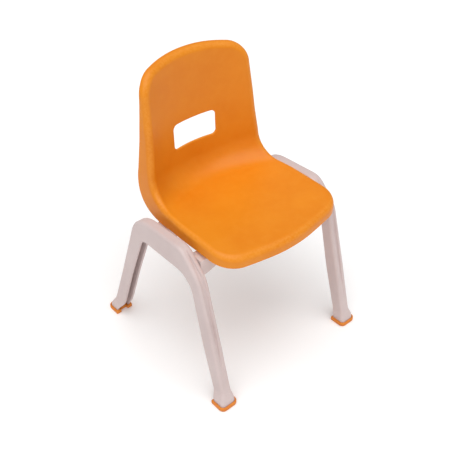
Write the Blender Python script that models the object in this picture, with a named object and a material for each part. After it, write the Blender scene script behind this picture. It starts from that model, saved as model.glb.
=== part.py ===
"""Small stacking chair: a moulded seat shell with a rolled rim, hung between two moulded
arch-shaped leg frames, which two cross rails join. Metres, +Z up, and the chair faces -Y.
The origin is on the floor under the middle of the four feet."""

import math

import bmesh
import bpy
import numpy as np
from mathutils import Matrix, Vector

# Clearance between pieces that touch.
GAP = 0.0003

# Feet and leg frames.
FRAME_X = 0.1508  # outer face of a leg frame where it would meet the floor
LEAN = 0.0060  # how far that face comes in per unit of height
FOOT_Y = 0.1588  # front and rear ends of the feet
FOOT_SPLAY = 0.0056  # how far a foot flares past the outer face
FOOT_DEPTH = 0.0232
FRAME_TOP = 0.2668
BEND_RISE = 0.0018  # the front bend stands this far above the top
LEG_WIDTH = 0.0190
FOOT_WIDTH = 0.0280
LEG_WALL = 0.0040
LEG_WEB = 0.0052
FOOT_WALL = 0.0048
LEG_EDGE_RADIUS = 0.0048
FOOT_EDGE_RADIUS = 0.0060
LEG_END_Z = 0.0040
FLARE_TOP = 0.030
FLUTE_DEPTH = 0.0032
FLUTE_FLOOR, FLUTE_MOUTH = 0.13, 0.23  # half widths, as shares of the leg's width
FLUTE_END_Y = -0.030
FLUTE_NARROWEST = 0.15

# Foot caps.
CAP_WALL = 0.0028
CAP_HEIGHT = 0.0077
CAP_CORNER_RADIUS = 0.0085
CAP_NOTCH = 0.0052  # how far the gap between the leg's walls reaches into the cap
CAP_EDGE = 0.0007
CAP_FLOOR = LEG_END_Z - GAP

# Seat shell.
SHELL_THICKNESS = 0.0038
SEAT_HALF_WIDTH = 0.1228
BACK_HALF_WIDTH = 0.1114
SHELL_TOP = 0.4895
SHELL_DRAFT = 0.04
SHELL_DISH = 2.2  # how late the section turns from the middle profile to the side one
SIDE_ROLL = 0.0082  # the rolled rim's radius at the sides, and what the front and top add
FRONT_ROLL_MORE = 0.0038
TOP_ROLL_MORE = 0.0030
ROLL_ONSET = 1.5
LEAST_FLANGE = 0.0010  # straight part of the flange
FOLD_DENSITY = 2.0  # how much closer the points lie at the fold
FOLD_SPREAD = 0.040
FLANGE_EASE = 0.010  # how far the flange's changes of reach are spread
GRIP_HALF_WIDTH = 0.0425
GRIP_BOTTOM = 0.3265
GRIP_TOP = 0.3692
GRIP_RADIUS = 0.0075
GRIP_CUT_FRONT, GRIP_CUT_BACK = 0.060, 0.130

# Cross rails and fasteners.
RAIL_DEPTH = 0.024
RAIL_TOP = 0.2500
RAIL_END_BOTTOM = 0.2200
RAIL_MIDDLE_BOTTOM = 0.2340
RAIL_HAUNCH = 0.060
HAUNCH_STEPS = 6
RAIL_EDGE = 0.0012
RAIL_WALL = 0.0030
RAIL_WEB = 0.0035
RAIL_END_WALL = 0.0060
FRONT_RAIL_Y = -0.0680
REAR_RAIL_Y = 0.0250
BOLT_RADIUS = 0.0025
BOLT_HEAD_RADIUS = 0.0046
BOLT_HEAD_HEIGHT = 0.0032
BOLT_REACH = 0.0165
BOLT_HEIGHTS = (0.2290, 0.2415)
NUT_HEIGHT = 0.0036
NUT_RADIUS = 0.0048
SCREW_X = 0.070
SCREW_RADIUS = 0.0022
SCREW_HEAD_RADIUS = 0.0042
SCREW_HEAD_HEIGHT = 0.0028
SCREW_LENGTH = 0.0145
WASHER_RADIUS = 0.0058
WASHER_THICKNESS = 0.0010
BOSS_RADIUS = 0.0060
PILOT_RADIUS = SCREW_RADIUS + GAP
PILOT_TOP = 0.2610

# How finely the shell's panel and rim are divided.
SHELL_ACROSS = 20
SHELL_ALONG = 30
ROLL_STEPS = 4
FLANGE_STEPS = 2


def clear_scene():
    for old in list(bpy.data.objects):
        bpy.data.objects.remove(old, do_unlink=True)


def plastic(name, colour, roughness):
    """A new material for one piece."""
    material = bpy.data.materials.new(name)
    material.use_nodes = True
    shader = material.node_tree.nodes["Principled BSDF"]
    shader.inputs["Base Color"].default_value = (*colour, 1.0)
    shader.inputs["Roughness"].default_value = roughness
    return material


def steel(name):
    material = plastic(name, (0.62, 0.62, 0.64), 0.32)
    material.node_tree.nodes["Principled BSDF"].inputs["Metallic"].default_value = 1.0
    return material


def add_object(name, mesh, material=None):
    piece = bpy.data.objects.new(name, mesh)
    bpy.context.scene.collection.objects.link(piece)
    if material:
        mesh.materials.append(material)
    return piece


def helper(name, mesh):
    """An object that only cuts or joins, and isn't a piece itself."""
    tool = add_object(name, mesh)
    tool.hide_render = True
    tool.display_type = "WIRE"
    return tool


def boolean(piece, tool, operation="DIFFERENCE"):
    modifier = piece.modifiers.new(tool.name, "BOOLEAN")
    modifier.operation = operation
    modifier.object = tool


def mesh_of(name, build):
    """A mesh filled by build(bm), with its normals facing out."""
    bm = bmesh.new()
    build(bm)
    bmesh.ops.recalc_face_normals(bm, faces=bm.faces)
    mesh = bpy.data.meshes.new(name)
    bm.to_mesh(mesh)
    bm.free()
    return mesh


def shade_round(mesh, degrees=35):
    mesh.shade_smooth()
    mesh.set_sharp_from_angle(angle=math.radians(degrees))


# ---------------------------------------------------------------- outlines


def rounded_path(corners, run_steps, arc_steps):
    """Points along a path of straight runs, each corner (a, b, radius) turned as an arc.
    Each run has run_steps[i] steps and each rounded corner arc_steps, so that two paths
    with the same corners match point for point."""
    spots = [Vector(corner[:2]) for corner in corners]
    ends = []
    for i, spot in enumerate(spots):
        radius = corners[i][2]
        if radius == 0:
            ends.append((spot, spot, []))
            continue
        before = (spots[i - 1] - spot).normalized()
        after = (spots[(i + 1) % len(spots)] - spot).normalized()
        half = before.angle(after) / 2
        reach = radius / math.tan(half)
        centre = spot + (before + after).normalized() * radius / math.sin(half)
        start, stop = spot + before * reach, spot + after * reach
        from_centre, to_centre = start - centre, stop - centre
        turn = from_centre.angle_signed(to_centre)
        arc = []
        for step in range(1, arc_steps):
            arc.append(centre + Matrix.Rotation(-turn * step / arc_steps, 2) @ from_centre)
        ends.append((start, stop, arc))
    path = []
    for i, (start, stop, arc) in enumerate(ends):
        path.append(start)
        path.extend(arc)
        if stop is not start:
            path.append(stop)
        if i + 1 < len(ends):
            following = ends[i + 1][0]
            for step in range(1, run_steps[i]):
                path.append(stop.lerp(following, step / run_steps[i]))
    return path


def ease(value):
    """0 to 1 with flat ends."""
    value = min(max(value, 0.0), 1.0)
    return value * value * (3 - 2 * value)


# -------------------------------------------------------------- leg frames

FOOT_FLAT_TOP = 0.0105
FRAME_RUNS = (1, 2, 3, 3, 1, 4, 3, 3, 2, 1)
FRAME_ARC = 5


def frame_paths():
    """The arch seen from the side, foot to foot: its outer edge, and the free edge of its
    walls, as (y, z) points that match one to one."""
    outer = [
        (-FOOT_Y, LEG_END_Z, 0),
        (-FOOT_Y, FOOT_FLAT_TOP, 0),
        (-0.1510, FLARE_TOP, 0),
        (-0.1297, 0.1100, 0.40),
        (-0.0957, 0.2290, 0.050),
        (-0.0560, FRAME_TOP + BEND_RISE, 0.030),
        (0.0600, FRAME_TOP - 0.0026, 0.0480),
        (0.1102, 0.1260, 0.40),
        (0.1467, FLARE_TOP, 0),
        (FOOT_Y, FOOT_FLAT_TOP, 0),
        (FOOT_Y, LEG_END_Z, 0),
    ]
    inner = [
        (-FOOT_Y + FOOT_DEPTH, LEG_END_Z, 0),
        (-FOOT_Y + FOOT_DEPTH, FOOT_FLAT_TOP, 0),
        (-0.1283, FLARE_TOP, 0),
        (-0.1046, 0.1080, 0.40),
        (-0.0794, 0.2100, 0.034),
        (-0.0590, 0.2262, 0.034),
        (0.0435, 0.2262, 0.020),
        (0.0835, 0.1260, 0.40),
        (0.1185, FLARE_TOP, 0),
        (FOOT_Y - FOOT_DEPTH, FOOT_FLAT_TOP, 0),
        (FOOT_Y - FOOT_DEPTH, LEG_END_Z, 0),
    ]
    return [rounded_path(corners, FRAME_RUNS, FRAME_ARC) for corners in (outer, inner)]


def flare(height):
    """1 in the foot, 0 above the flare."""
    return 1 - ease((height - FOOT_FLAT_TOP) / (FLARE_TOP - FOOT_FLAT_TOP))


def flute(y, z):
    """Depth and width, 0 to 1, of the groove down the front of each front leg: a point
    at the top of the bend, widest just below it, and fading out above the foot."""
    if y > FLUTE_END_Y:
        return 0.0, 0.0
    width = ease((0.272 - z) / 0.045) * (0.35 + 0.65 * ease((z - 0.040) / 0.170))
    return ease((0.270 - z) / 0.020) * ease((z - 0.045) / 0.090), width


def frame_section(width, depth, wall, web, radius, groove):
    """The channel's section, as (inward from the outer face, down from the outer edge)."""
    deep, wide = groove
    loop = [(0.0, depth), (0.0, radius)]
    for step in (1, 2):
        angle = math.radians(30 * step)
        loop.append((radius * (1 - math.cos(angle)), radius * (1 - math.sin(angle))))
    loop.append((radius, 0.0))
    mouth, floor = (FLUTE_MOUTH, 0.0), (FLUTE_FLOOR, 1.0)
    for way, (share, level) in ((-1, mouth), (-1, floor), (1, floor), (1, mouth)):
        reach = way * width * share * max(wide, FLUTE_NARROWEST)
        loop.append((width / 2 + reach, FLUTE_DEPTH * deep * level))
    loop.append((width - radius, 0.0))
    for step in (2, 1):
        angle = math.radians(30 * step)
        loop.append((width - radius * (1 - math.cos(angle)), radius * (1 - math.sin(angle))))
    loop.extend([(width, radius), (width, depth), (width - wall, depth)])
    loop.extend([(width - wall, web), (wall, web), (wall, depth)])
    return loop


def frame_face_x(z):
    """|x| of the leg frame's outer face at a height, without its foot's flare."""
    return FRAME_X - LEAN * z


def leg_frame(side, name, material, holes):
    """side is -1 for the left frame and 1 for the right one."""

    def build(bm):
        rings = []
        for outer, inner in zip(*frame_paths()):
            down = inner - outer
            depth = down.length
            down = down / depth
            spread = flare(outer.y)
            width = LEG_WIDTH + (FOOT_WIDTH - LEG_WIDTH) * spread
            wall = LEG_WALL + (FOOT_WALL - LEG_WALL) * spread
            web = LEG_WEB + (FOOT_WALL - LEG_WEB) * spread
            radius = LEG_EDGE_RADIUS + (FOOT_EDGE_RADIUS - LEG_EDGE_RADIUS) * spread
            groove = flute(outer.x, outer.y)
            ring = []
            for inward, along in frame_section(width, depth, wall, web, radius, groove):
                y, z = outer + down * along
                x = frame_face_x(z) + FOOT_SPLAY * spread - inward
                ring.append(bm.verts.new((side * x, y, z)))
            rings.append(ring)
        count = len(rings[0])
        for first, second in zip(rings, rings[1:]):
            for i in range(count):
                j = (i + 1) % count
                bm.faces.new((first[i], first[j], second[j], second[i]))
        bm.faces.new(rings[0])
        bm.faces.new(rings[-1])

    mesh = mesh_of(name, build)
    shade_round(mesh)
    frame = add_object(name, mesh, material)
    for hole in holes:
        boolean(frame, hole)
    return frame


def foot_cap(side, end, name, material):
    """A shoe round the channel's end, and filling it but for a notch at its open side.
    end is -1 at the front and 1 at the rear."""
    outer_x = frame_face_x((LEG_END_Z + FOOT_FLAT_TOP) / 2) + FOOT_SPLAY
    outer_y = FOOT_Y

    def channel(bm, grow, low, high, rounding, web):
        """A U-shaped block: the leg's end section grown on all its sides, with its two
        walls joined by a web of the given thickness."""
        wall = FOOT_WALL + grow
        near, far = -grow, FOOT_WIDTH + grow
        front, back = -grow, FOOT_DEPTH + grow
        loop = [
            (near, back, 0),
            (near, front, rounding),
            (far, front, rounding),
            (far, back, 0),
            (FOOT_WIDTH - wall, back, 0),
            (FOOT_WIDTH - wall, web, 0),
            (wall, web, 0),
            (wall, back, 0),
        ]
        path = rounded_path(loop, (1,) * 7, 4)
        base = []
        for inward, along in path:
            x, y = side * (outer_x - inward), end * (outer_y - along)
            base.append(bm.verts.new((x, y, low)))
        face = bm.faces.new(base)
        moved = bmesh.ops.extrude_face_region(bm, geom=[face])["geom"]
        top = [v for v in moved if isinstance(v, bmesh.types.BMVert)]
        bmesh.ops.translate(bm, verts=top, vec=(0, 0, high - low))

    def shoe(bm):
        web = FOOT_DEPTH + CAP_WALL - CAP_NOTCH
        channel(bm, CAP_WALL, 0.0, CAP_HEIGHT, CAP_CORNER_RADIUS, web)

    def pocket(bm):
        web = FOOT_WALL + GAP
        channel(bm, GAP, CAP_FLOOR, 2 * CAP_HEIGHT, FOOT_EDGE_RADIUS + GAP, web)

    mesh = mesh_of(name, shoe)
    shade_round(mesh)
    cap = add_object(name, mesh, material)
    edge = cap.modifiers.new("rounded_sole", "BEVEL")
    edge.width = CAP_EDGE
    edge.segments = 2
    edge.limit_method = "ANGLE"
    edge.angle_limit = math.radians(60)
    boolean(cap, helper(name + "_pocket", mesh_of(name + "_pocket", pocket)))
    return cap


# --------------------------------------------------------------- seat shell

PROFILE_RUNS = (5, 9, 6, 6)
PROFILE_ARC = 8
MIDDLE_PROFILE = (
    (-0.1490, 0.2680, 0),
    (-0.0800, 0.2700, 0.30),
    (0.0882, 0.2650, 0.036),
    (0.0925, 0.3850, 0.50),
    (0.0993, SHELL_TOP, 0),
)
SIDE_PROFILE = (
    (-0.1490, 0.2725, 0),
    (-0.0800, 0.2785, 0.30),
    (0.0405, 0.2825, 0.044),
    (0.0468, 0.3850, 0.50),
    (0.0590, SHELL_TOP, 0),
)


def profile_tables():
    """The two profiles as matching points, and the length along them."""
    paths = []
    for corners in (MIDDLE_PROFILE, SIDE_PROFILE):
        paths.append(np.array(rounded_path(corners, PROFILE_RUNS, PROFILE_ARC)))
    steps = np.linalg.norm(np.diff(sum(paths) / 2, axis=0), axis=1)
    return paths[0], paths[1], np.concatenate([[0.0], np.cumsum(steps)])


MIDDLE, SIDE, ALONG = profile_tables()


def along_at_y(y):
    """Length along the profile where the seat is at y."""
    return float(np.interp(y, (MIDDLE + SIDE)[:24, 0] / 2, ALONG[:24]))


def along_at_z(z):
    """Length along the profile where the back is at z."""
    heights = (MIDDLE + SIDE)[:, 1] / 2
    start = len(heights) - 24
    return float(np.interp(z, heights[start:], ALONG[start:]))


def surface(x, s):
    """The shell's top and front face: x across, s along the profile from the front."""
    middle = np.array([np.interp(s, ALONG, MIDDLE[:, i]) for i in (0, 1)])
    side = np.array([np.interp(s, ALONG, SIDE[:, i]) for i in (0, 1)])
    blend = (abs(x) / SEAT_HALF_WIDTH) ** SHELL_DISH
    y, z = middle + (side - middle) * blend
    return np.array([x, y, z])


def shell_outline():
    """The rim as a closed run of (x, s) points, counter-clockwise from the front."""
    right = [
        (SEAT_HALF_WIDTH + 0.0004, along_at_y(-0.1285), 0.041),
        (SEAT_HALF_WIDTH, along_at_y(0.0), 0.30),
        (BACK_HALF_WIDTH, along_at_z(0.360), 0.30),
        (0.1034, along_at_z(0.473), 0.037),
    ]
    left = [(-x, s, radius) for x, s, radius in reversed(right)]
    front, top = (0.0, along_at_y(-0.1465), 0.30), (0.0, float(ALONG[-1]), 0.42)
    corners = [front, *right, top, *left]
    path = rounded_path(corners, (1,) * (len(corners) - 1), 12)
    return np.array([point[:] for point in path])


def resampled(path, count):
    """count + 1 points along a path, closer together where the back meets the seat."""
    fold = along_at_y(0.060)
    middles = (path[1:, 1] + path[:-1, 1]) / 2
    closeness = 1 + FOLD_DENSITY * np.exp(-(((middles - fold) / FOLD_SPREAD) ** 2))
    steps = np.linalg.norm(np.diff(path, axis=0), axis=1) * closeness
    length = np.concatenate([[0.0], np.cumsum(steps)])
    wanted = np.linspace(0, length[-1], count + 1)
    return np.stack([np.interp(wanted, length, path[:, i]) for i in (0, 1)], axis=1)


def rim_loop():
    """The rim's points, SHELL_ACROSS along the front and top and SHELL_ALONG up each side,
    counter-clockwise from the front left corner."""
    outline = shell_outline()
    cuts = [int(np.argmax(outline @ np.array(way))) for way in ((-1, -1), (1, -1), (1, 1), (-1, 1))]
    counts = (SHELL_ACROSS, SHELL_ALONG, SHELL_ACROSS, SHELL_ALONG)
    loop = []
    for i, count in enumerate(counts):
        run = np.roll(outline, -cuts[i], axis=0)
        stop = (cuts[(i + 1) % 4] - cuts[i]) % len(outline)
        loop.extend(resampled(run[: stop + 1], count)[:-1])
    return np.array(loop)


def outward_normals(loop):
    steps = np.roll(loop, -1, axis=0) - np.roll(loop, 1, axis=0)
    normals = np.stack([steps[:, 1], -steps[:, 0]], axis=1)
    return normals / np.linalg.norm(normals, axis=1)[:, None]


def roll_radius(normal):
    """Radius of the rolled rim: tighter at the sides than at the front and the top."""
    forward, upward = max(0.0, -normal[1]), max(0.0, normal[1])
    more = FRONT_ROLL_MORE * forward**ROLL_ONSET + TOP_ROLL_MORE * upward**ROLL_ONSET
    return SIDE_ROLL + more


def flange_reach(s):
    """How far the flange reaches below or behind the surface at its edge. The knots are
    (length along the profile, reach)."""
    knots = (
        (0.000, 0.0190),
        (0.050, 0.0190),
        (0.120, 0.0215),
        (0.176, 0.0232),
        (0.191, 0.0275),
        (0.206, 0.0362),
        (0.216, 0.0368),
        (0.236, 0.0293),
        (0.265, 0.0252),
        (0.300, 0.0205),
        (0.330, 0.0155),
        (0.365, 0.0105),
        (float(ALONG[-1]), 0.0105),
    )
    lengths, reaches = zip(*knots)
    spans = np.linspace(-FLANGE_EASE, FLANGE_EASE, 9)
    return float(np.mean([np.interp(s + span, lengths, reaches) for span in spans]))


def unit(vector):
    return vector / np.linalg.norm(vector)


def edge_frame(spot, normal):
    """At an (x, s) spot: the surface's slope outward, and the way the flange points."""
    small = 0.0006
    outward = surface(*(spot + small * normal)) - surface(*(spot - small * normal))
    along = surface(spot[0], spot[1] + small) - surface(spot[0], spot[1] - small)
    flange = unit(np.array([0.0, along[2], -along[1]]))
    return outward / (2 * small), flange


def rim_rows():
    """Rows of points from the panel's edge, round the roll and down the flange, as 3-D
    points, and the (x, s) points of the panel's edge."""
    loop = rim_loop()
    normals = outward_normals(loop)
    base, rows = [], []
    for spot, normal in zip(loop, normals):
        radius = roll_radius(normal)
        inset = radius
        for _ in range(3):
            edge = spot - inset * normal
            slope, flange = edge_frame(edge, normal)
            turn = math.acos(float(unit(slope) @ flange))
            inset = radius * (1 - math.cos(turn)) / (np.linalg.norm(slope) * math.sin(turn))
        out = unit(slope)
        inward = unit(flange - (flange @ out) * out)
        start = surface(*edge)
        row = []
        for step in range(1, ROLL_STEPS + 1):
            angle = turn * step / ROLL_STEPS
            shift = math.sin(angle) * out + (1 - math.cos(angle)) * inward
            row.append(start + radius * shift)
        straight = max(flange_reach(edge[1]) - radius, LEAST_FLANGE)
        draft = unit(out - (out @ flange) * flange) * SHELL_DRAFT
        for step in range(1, FLANGE_STEPS + 1):
            row.append(row[ROLL_STEPS - 1] + (flange + draft) * straight * step / FLANGE_STEPS)
        base.append(edge)
        rows.append(row)
    return np.array(base), np.array(rows)


def panel_grid(base):
    """(x, s) points that fill the panel inside its edge, by blending its four sides."""
    across, along = SHELL_ACROSS, SHELL_ALONG
    front = base[: across + 1]
    right = base[across : across + along + 1]
    top = base[across + along : 2 * across + along + 1][::-1]
    left = np.concatenate([base[2 * across + along :], base[:1]])[::-1]
    grid = np.zeros((across + 1, along + 1, 2))
    for i in range(across + 1):
        for j in range(along + 1):
            u, v = i / across, j / along
            corners = (1 - u) * (1 - v) * front[0] + u * (1 - v) * front[-1]
            corners = corners + (1 - u) * v * top[0] + u * v * top[-1]
            edges = (1 - v) * front[i] + v * top[i] + (1 - u) * left[j] + u * right[j]
            grid[i, j] = edges - corners
    return grid


def shell_skin(bm):
    """The shell's outer skin as one open sheet, with its outer side up and to the front."""
    base, rows = rim_rows()
    grid = panel_grid(base)
    across, along = SHELL_ACROSS, SHELL_ALONG
    points = {}
    for i in range(across + 1):
        for j in range(along + 1):
            points[i, j] = bm.verts.new(surface(*grid[i, j]))
    for i in range(across):
        for j in range(along):
            corners = ((i, j), (i + 1, j), (i + 1, j + 1), (i, j + 1))
            bm.faces.new([points[corner] for corner in corners])
    ring = [points[i, 0] for i in range(across)]
    ring += [points[across, j] for j in range(along)]
    ring += [points[across - i, along] for i in range(across)]
    ring += [points[0, along - j] for j in range(along)]
    for step in range(rows.shape[1]):
        outer = [bm.verts.new(row[step]) for row in rows]
        for i in range(len(ring)):
            j = (i + 1) % len(ring)
            bm.faces.new((ring[i], outer[i], outer[j], ring[j]))
        ring = outer


def grip_cutter():
    """The hand-hole through the back."""
    middle = (GRIP_BOTTOM + GRIP_TOP) / 2
    half = (GRIP_TOP - GRIP_BOTTOM) / 2
    corners = [
        (-GRIP_HALF_WIDTH, -half, GRIP_RADIUS),
        (GRIP_HALF_WIDTH, -half, GRIP_RADIUS),
        (GRIP_HALF_WIDTH, half, GRIP_RADIUS),
        (-GRIP_HALF_WIDTH, half, GRIP_RADIUS),
    ]

    def build(bm):
        path = rounded_path(corners, (1,) * 3, 5)
        face = bm.faces.new([bm.verts.new((x, GRIP_CUT_FRONT, middle + z)) for x, z in path])
        moved = bmesh.ops.extrude_face_region(bm, geom=[face])["geom"]
        back = [v for v in moved if isinstance(v, bmesh.types.BMVert)]
        bmesh.ops.translate(bm, verts=back, vec=(0, GRIP_CUT_BACK - GRIP_CUT_FRONT, 0))

    return helper("hand_hole", mesh_of("hand_hole", build))


def seat_shell(material):
    bm = bmesh.new()
    shell_skin(bm)
    mesh = bpy.data.meshes.new("seat_shell")
    bm.to_mesh(mesh)
    bm.free()
    shade_round(mesh, 50)
    shell = add_object("seat_shell", mesh, material)
    wall = shell.modifiers.new("wall", "SOLIDIFY")
    wall.thickness = SHELL_THICKNESS
    wall.offset = -1
    wall.use_even_offset = True
    boolean(shell, grip_cutter())
    for x, y in screw_places():
        boss_top = surface(x, along_at_y(y))[2] - SHELL_THICKNESS / 2
        boss = cylinder("boss", BOSS_RADIUS, RAIL_TOP + GAP, boss_top, 16)
        boss_tool = helper("boss", boss)
        boss_tool.location = (x, y, 0)
        boolean(shell, boss_tool, "UNION")
    for x, y in screw_places():
        pilot = cylinder("pilot", PILOT_RADIUS, RAIL_TOP - 0.01, PILOT_TOP, 12)
        pilot_tool = helper("pilot", pilot)
        pilot_tool.location = (x, y, 0)
        boolean(shell, pilot_tool)
    return shell


# ------------------------------------------------------ rails and fasteners


def cylinder(name, radius, low, high, sides, hole=0.0, hexagon=False):
    """An upright cylinder, or with a hole a washer or a nut."""

    def build(bm):
        loops = [ring_of(bm, radius, z, sides, hexagon) for z in (low, high)]
        if hole:
            for z in (high, low):
                loops.append(ring_of(bm, hole, z, sides))
            loops.append(loops[0])
        for first, second in zip(loops, loops[1:]):
            for i in range(sides):
                j = (i + 1) % sides
                bm.faces.new((first[i], first[j], second[j], second[i]))
        if not hole:
            bm.faces.new(loops[0])
            bm.faces.new(loops[1])

    mesh = mesh_of(name, build)
    shade_round(mesh, 40)
    return mesh


def ring_of(bm, radius, z, sides, hexagon=False):
    """A round ring of points, or one along a hexagon whose corners are at radius."""
    ring = []
    for i in range(sides):
        angle = 2 * math.pi * i / sides
        reach = radius
        if hexagon:
            sixth = math.pi / 3
            reach *= math.cos(sixth / 2) / math.cos(angle % sixth - sixth / 2)
        ring.append(bm.verts.new((reach * math.cos(angle), reach * math.sin(angle), z)))
    return ring


def turned(name, profile, sides):
    """A solid turned about Z from (radius, z) points that start and end on the axis."""

    def build(bm):
        bottom = bm.verts.new((0, 0, profile[0][1]))
        top = bm.verts.new((0, 0, profile[-1][1]))
        loops = [ring_of(bm, radius, z, sides) for radius, z in profile[1:-1]]
        for first, second in zip(loops, loops[1:]):
            for i in range(sides):
                j = (i + 1) % sides
                bm.faces.new((first[i], first[j], second[j], second[i]))
        for i in range(sides):
            j = (i + 1) % sides
            bm.faces.new((bottom, loops[0][i], loops[0][j]))
            bm.faces.new((top, loops[-1][i], loops[-1][j]))

    mesh = mesh_of(name, build)
    shade_round(mesh, 40)
    return mesh


def screw_places():
    return [(x, y) for y in (FRONT_RAIL_Y, REAR_RAIL_Y) for x in (-SCREW_X, SCREW_X)]


def bolt_places(rail_y):
    return [(side, rail_y, z) for side in (-1, 1) for z in BOLT_HEIGHTS]


def wall_frame(side, y, z):
    """A frame on the inner face of a leg frame's channel wall, its Z pointing outboard."""
    inner_face = frame_face_x(z) - LEG_WIDTH
    tilt = math.radians(90) - math.atan(LEAN)
    turn = Matrix.Rotation(side * tilt, 4, "Y")
    return Matrix.Translation((side * inner_face, y, z)) @ turn


def bolt_hole(side, y, z):
    tool = helper("bolt_hole", cylinder("bolt_hole", BOLT_RADIUS + GAP, -0.012, 0.010, 16))
    tool.matrix_world = wall_frame(side, y, z)
    return tool


def rail_bottom(x):
    """The rail's lower edge: deep at its ends, shallow in the middle."""
    rise = ease((RAIL_END_X - abs(x)) / RAIL_HAUNCH)
    return RAIL_END_BOTTOM + (RAIL_MIDDLE_BOTTOM - RAIL_END_BOTTOM) * rise


RAIL_END_X = frame_face_x(RAIL_TOP) - LEG_WIDTH - GAP


def rail_block(bm, end_gap, half_depth, top, lift):
    """The rail's outline, or its hollow: end_gap shortens it and lift raises its bottom."""
    haunch = np.linspace(RAIL_END_X, RAIL_END_X - RAIL_HAUNCH, HAUNCH_STEPS + 1)
    loops = []
    for x in (*-haunch, *reversed(haunch)):
        low = rail_bottom(x) + lift
        loop = []
        for z, y in ((low, -half_depth), (low, half_depth), (top, half_depth), (top, -half_depth)):
            end = frame_face_x(z) - LEG_WIDTH - GAP - end_gap
            loop.append(bm.verts.new((x / RAIL_END_X * end, y, z)))
        loops.append(loop)
    for first, second in zip(loops, loops[1:]):
        for i in range(4):
            j = (i + 1) % 4
            bm.faces.new((first[i], first[j], second[j], second[i]))
    bm.faces.new(loops[0])
    bm.faces.new(loops[-1])


def cross_rail(name, rail_y, material):
    """A rail moulded as a channel that opens downward, with a thick wall at each end."""

    def outside(bm):
        rail_block(bm, 0.0, RAIL_DEPTH / 2, RAIL_TOP, 0.0)

    def hollow(bm):
        rail_block(bm, RAIL_END_WALL, RAIL_DEPTH / 2 - RAIL_WALL, RAIL_TOP - RAIL_WEB, -0.02)

    rail = add_object(name, mesh_of(name, outside), material)
    rail.location = (0, rail_y, 0)
    edge = rail.modifiers.new("soft_edges", "BEVEL")
    edge.width = RAIL_EDGE
    edge.segments = 2
    edge.limit_method = "ANGLE"
    edge.angle_limit = math.radians(50)
    inside = helper(name + "_hollow", mesh_of(name + "_hollow", hollow))
    inside.location = (0, rail_y, 0)
    boolean(rail, inside)
    for x, y in screw_places():
        if y == rail_y:
            hole = cylinder("screw_hole", SCREW_RADIUS + GAP, 0.2, 0.3, 16)
            tool = helper("screw_hole", hole)
            tool.location = (x, y, 0)
            boolean(rail, tool)
    for place in bolt_places(rail_y):
        boolean(rail, bolt_hole(*place))
    return rail


def bolt_mesh():
    """Its origin is on the leg frame's inner face, its shank points outboard."""
    seat = -GAP - RAIL_END_WALL - GAP
    tip = seat + BOLT_REACH
    profile = [
        (0, seat - BOLT_HEAD_HEIGHT),
        (BOLT_HEAD_RADIUS * 0.72, seat - BOLT_HEAD_HEIGHT),
        (BOLT_HEAD_RADIUS, seat - BOLT_HEAD_HEIGHT * 0.55),
        (BOLT_HEAD_RADIUS, seat),
        (BOLT_RADIUS, seat),
        (BOLT_RADIUS, tip - 0.0008),
        (BOLT_RADIUS * 0.7, tip),
        (0, tip),
    ]
    return turned("rail_bolt", profile, 16)


def fasteners():
    bolt, bolt_metal = bolt_mesh(), steel("zinc_plated_bolt")
    low = LEG_WALL + GAP
    hole = BOLT_RADIUS + GAP
    nut = cylinder("rail_nut", NUT_RADIUS, low, low + NUT_HEIGHT, 24, hole, hexagon=True)
    bolt.materials.append(bolt_metal)
    nut.materials.append(steel("zinc_plated_nut"))
    for end, rail_y in (("front", FRONT_RAIL_Y), ("rear", REAR_RAIL_Y)):
        for i, place in enumerate(bolt_places(rail_y)):
            side = "left" if place[0] < 0 else "right"
            level = ("lower", "upper")[i % 2]
            for kind, mesh in (("rail_bolt", bolt), ("rail_nut", nut)):
                piece = add_object(f"{kind}_{end}_{side}_{level}", mesh)
                piece.matrix_world = wall_frame(*place)

    under_web = RAIL_TOP - RAIL_WEB
    washer_top = under_web - GAP
    head_top = washer_top - WASHER_THICKNESS - GAP
    low = washer_top - WASHER_THICKNESS
    washer = cylinder("seat_washer", WASHER_RADIUS, low, washer_top, 24, hole=SCREW_RADIUS + GAP)
    profile = [
        (0, head_top - SCREW_HEAD_HEIGHT),
        (SCREW_HEAD_RADIUS * 0.7, head_top - SCREW_HEAD_HEIGHT),
        (SCREW_HEAD_RADIUS, head_top - SCREW_HEAD_HEIGHT * 0.5),
        (SCREW_HEAD_RADIUS, head_top),
        (SCREW_RADIUS, head_top),
        (SCREW_RADIUS, head_top + SCREW_LENGTH - 0.002),
        (SCREW_RADIUS * 0.4, head_top + SCREW_LENGTH),
        (0, head_top + SCREW_LENGTH),
    ]
    screw = turned("seat_screw", profile, 16)
    washer.materials.append(steel("zinc_plated_washer"))
    screw.materials.append(steel("zinc_plated_screw"))
    for x, y in screw_places():
        side = "left" if x < 0 else "right"
        end = "front" if y == FRONT_RAIL_Y else "rear"
        for kind, mesh in (("seat_screw", screw), ("seat_washer", washer)):
            piece = add_object(f"{kind}_{end}_{side}", mesh)
            piece.location = (x, y, 0)


def build_chair():
    clear_scene()
    shell_plastic = plastic("orange_plastic", (0.87, 0.29, 0.02), 0.34)
    frame_plastic = plastic("pale_plastic", (0.63, 0.52, 0.51), 0.42)
    cap_rubber = plastic("orange_rubber", (0.76, 0.22, 0.02), 0.55)

    seat_shell(shell_plastic)
    cross_rail("front_cross_rail", FRONT_RAIL_Y, frame_plastic)
    cross_rail("rear_cross_rail", REAR_RAIL_Y, frame_plastic)
    for side, word in ((-1, "left"), (1, "right")):
        holes = []
        for rail_y in (FRONT_RAIL_Y, REAR_RAIL_Y):
            places = [place for place in bolt_places(rail_y) if place[0] == side]
            holes.extend(bolt_hole(*place) for place in places)
        leg_frame(side, f"leg_frame_{word}", frame_plastic, holes)
        for end, where in ((-1, "front"), (1, "rear")):
            foot_cap(side, end, f"foot_cap_{where}_{word}", cap_rubber)
    fasteners()


build_chair()
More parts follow.
